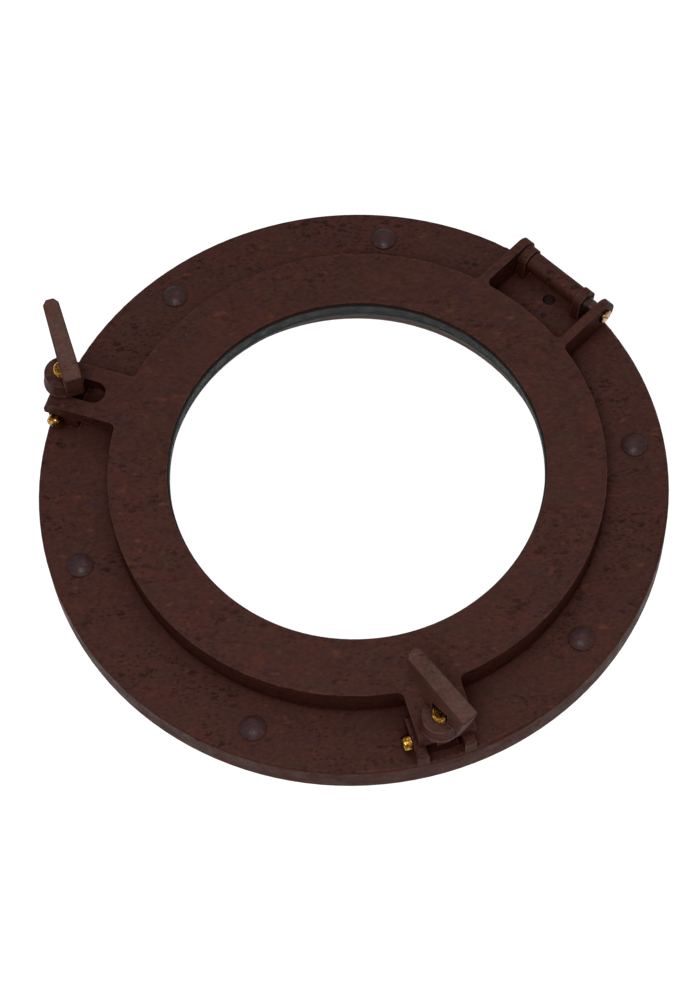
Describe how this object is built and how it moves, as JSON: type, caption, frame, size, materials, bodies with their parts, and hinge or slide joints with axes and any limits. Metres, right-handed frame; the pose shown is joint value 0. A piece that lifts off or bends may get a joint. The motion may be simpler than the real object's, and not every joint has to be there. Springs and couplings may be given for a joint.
{
  "type": "opening porthole",
  "caption": "Round flanged porthole with a hinged glazed sash, held shut by lever-nut swing bolts over forked lugs.",
  "frame": {"origin": "centre of the flange's back face, where it meets the hull", "axes": "+Z out of the flange towards the room, +Y towards the hinge, +X along the hinge pin"},
  "size_m": [0.381, 0.3823, 0.1243],
  "materials": {
    "frame_casting": "mottled rust-brown lacquer over a rough casting",
    "sash_casting": "mottled rust-brown lacquer over a rough casting",
    "hull_bolt_heads": "rust-brown lacquer",
    "hinge_barrel": "rust-brown lacquer",
    "hinge_pin": "dull turned steel",
    "hinge_screws": "bright turned brass",
    "glass": "clear plate glass",
    "glazing_rubber": "matt black rubber",
    "seal_rubber": "matt black rubber",
    "retaining_ring": "rust-brown lacquer",
    "retaining_screws": "dull brass",
    "dog_pins": "bright turned brass",
    "swing_bolts": "threaded brass with a lacquered eye",
    "dog_washers": "rust-brown lacquer",
    "dog_nuts": "mottled rust-brown lacquer over a rough casting"
  },
  "bodies": {
    "frame": {"frame_ring": "frame_casting", "hull_bolts": "hull_bolt_heads", "hinge_barrel": "hinge_barrel", "left_dog_pin": "dog_pins", "lower_dog_pin": "dog_pins"},
    "sash": {"sash_ring": "sash_casting", "glass_pane": "glass", "front_gasket": "glazing_rubber", "rear_gasket": "glazing_rubber", "retaining_ring": "retaining_ring", "retaining_screws": "retaining_screws", "sash_seal": "seal_rubber", "hinge_pin": "hinge_pin", "hinge_screws": "hinge_screws"},
    "left_bolt": {"left_swing_bolt": "swing_bolts"},
    "left_washer": {"left_dog_washer": "dog_washers"},
    "left_nut": {"left_dog_nut": "dog_nuts"},
    "lower_bolt": {"lower_swing_bolt": "swing_bolts"},
    "lower_washer": {"lower_dog_washer": "dog_washers"},
    "lower_nut": {"lower_dog_nut": "dog_nuts"}
  },
  "joints": [
    {"name": "sash_hinge", "type": "hinge", "parent": "frame", "child": "sash", "pos_m": [0, 0.183, 0.032], "axis": [-1, 0, 0], "range_deg": [0, 110]},
    {"name": "left_dog_swing", "type": "hinge", "parent": "frame", "child": "left_bolt", "pos_m": [-0.16653, -0.07943, 0.027], "axis": [0.4305, -0.9026, 0], "range_deg": [0, 80]},
    {"name": "left_washer_lift", "type": "slide", "parent": "left_bolt", "child": "left_washer", "axis": [0, 0, 1], "range_m": [0, 0.003]},
    {"name": "left_nut_turn", "type": "hinge", "parent": "left_washer", "child": "left_nut", "pos_m": [-0.16653, -0.07943, 0.027], "axis": [0, 0, 1], "range_deg": [0, 720]},
    {"name": "lower_dog_swing", "type": "hinge", "parent": "frame", "child": "lower_bolt", "pos_m": [0.15379, -0.08701, 0.027], "axis": [0.4924, 0.8704, 0], "range_deg": [0, 80]},
    {"name": "lower_washer_lift", "type": "slide", "parent": "lower_bolt", "child": "lower_washer", "axis": [0, 0, 1], "range_m": [0, 0.003]},
    {"name": "lower_nut_turn", "type": "hinge", "parent": "lower_washer", "child": "lower_nut", "pos_m": [0.15379, -0.08701, 0.027], "axis": [0, 0, 1], "range_deg": [0, 720]}
  ],
  "couplings": [
    {"joint": "left_nut_turn", "follows": "left_washer_lift", "rad_per_m": 4188.8},
    {"joint": "lower_nut_turn", "follows": "lower_washer_lift", "rad_per_m": 4188.8}
  ]
}
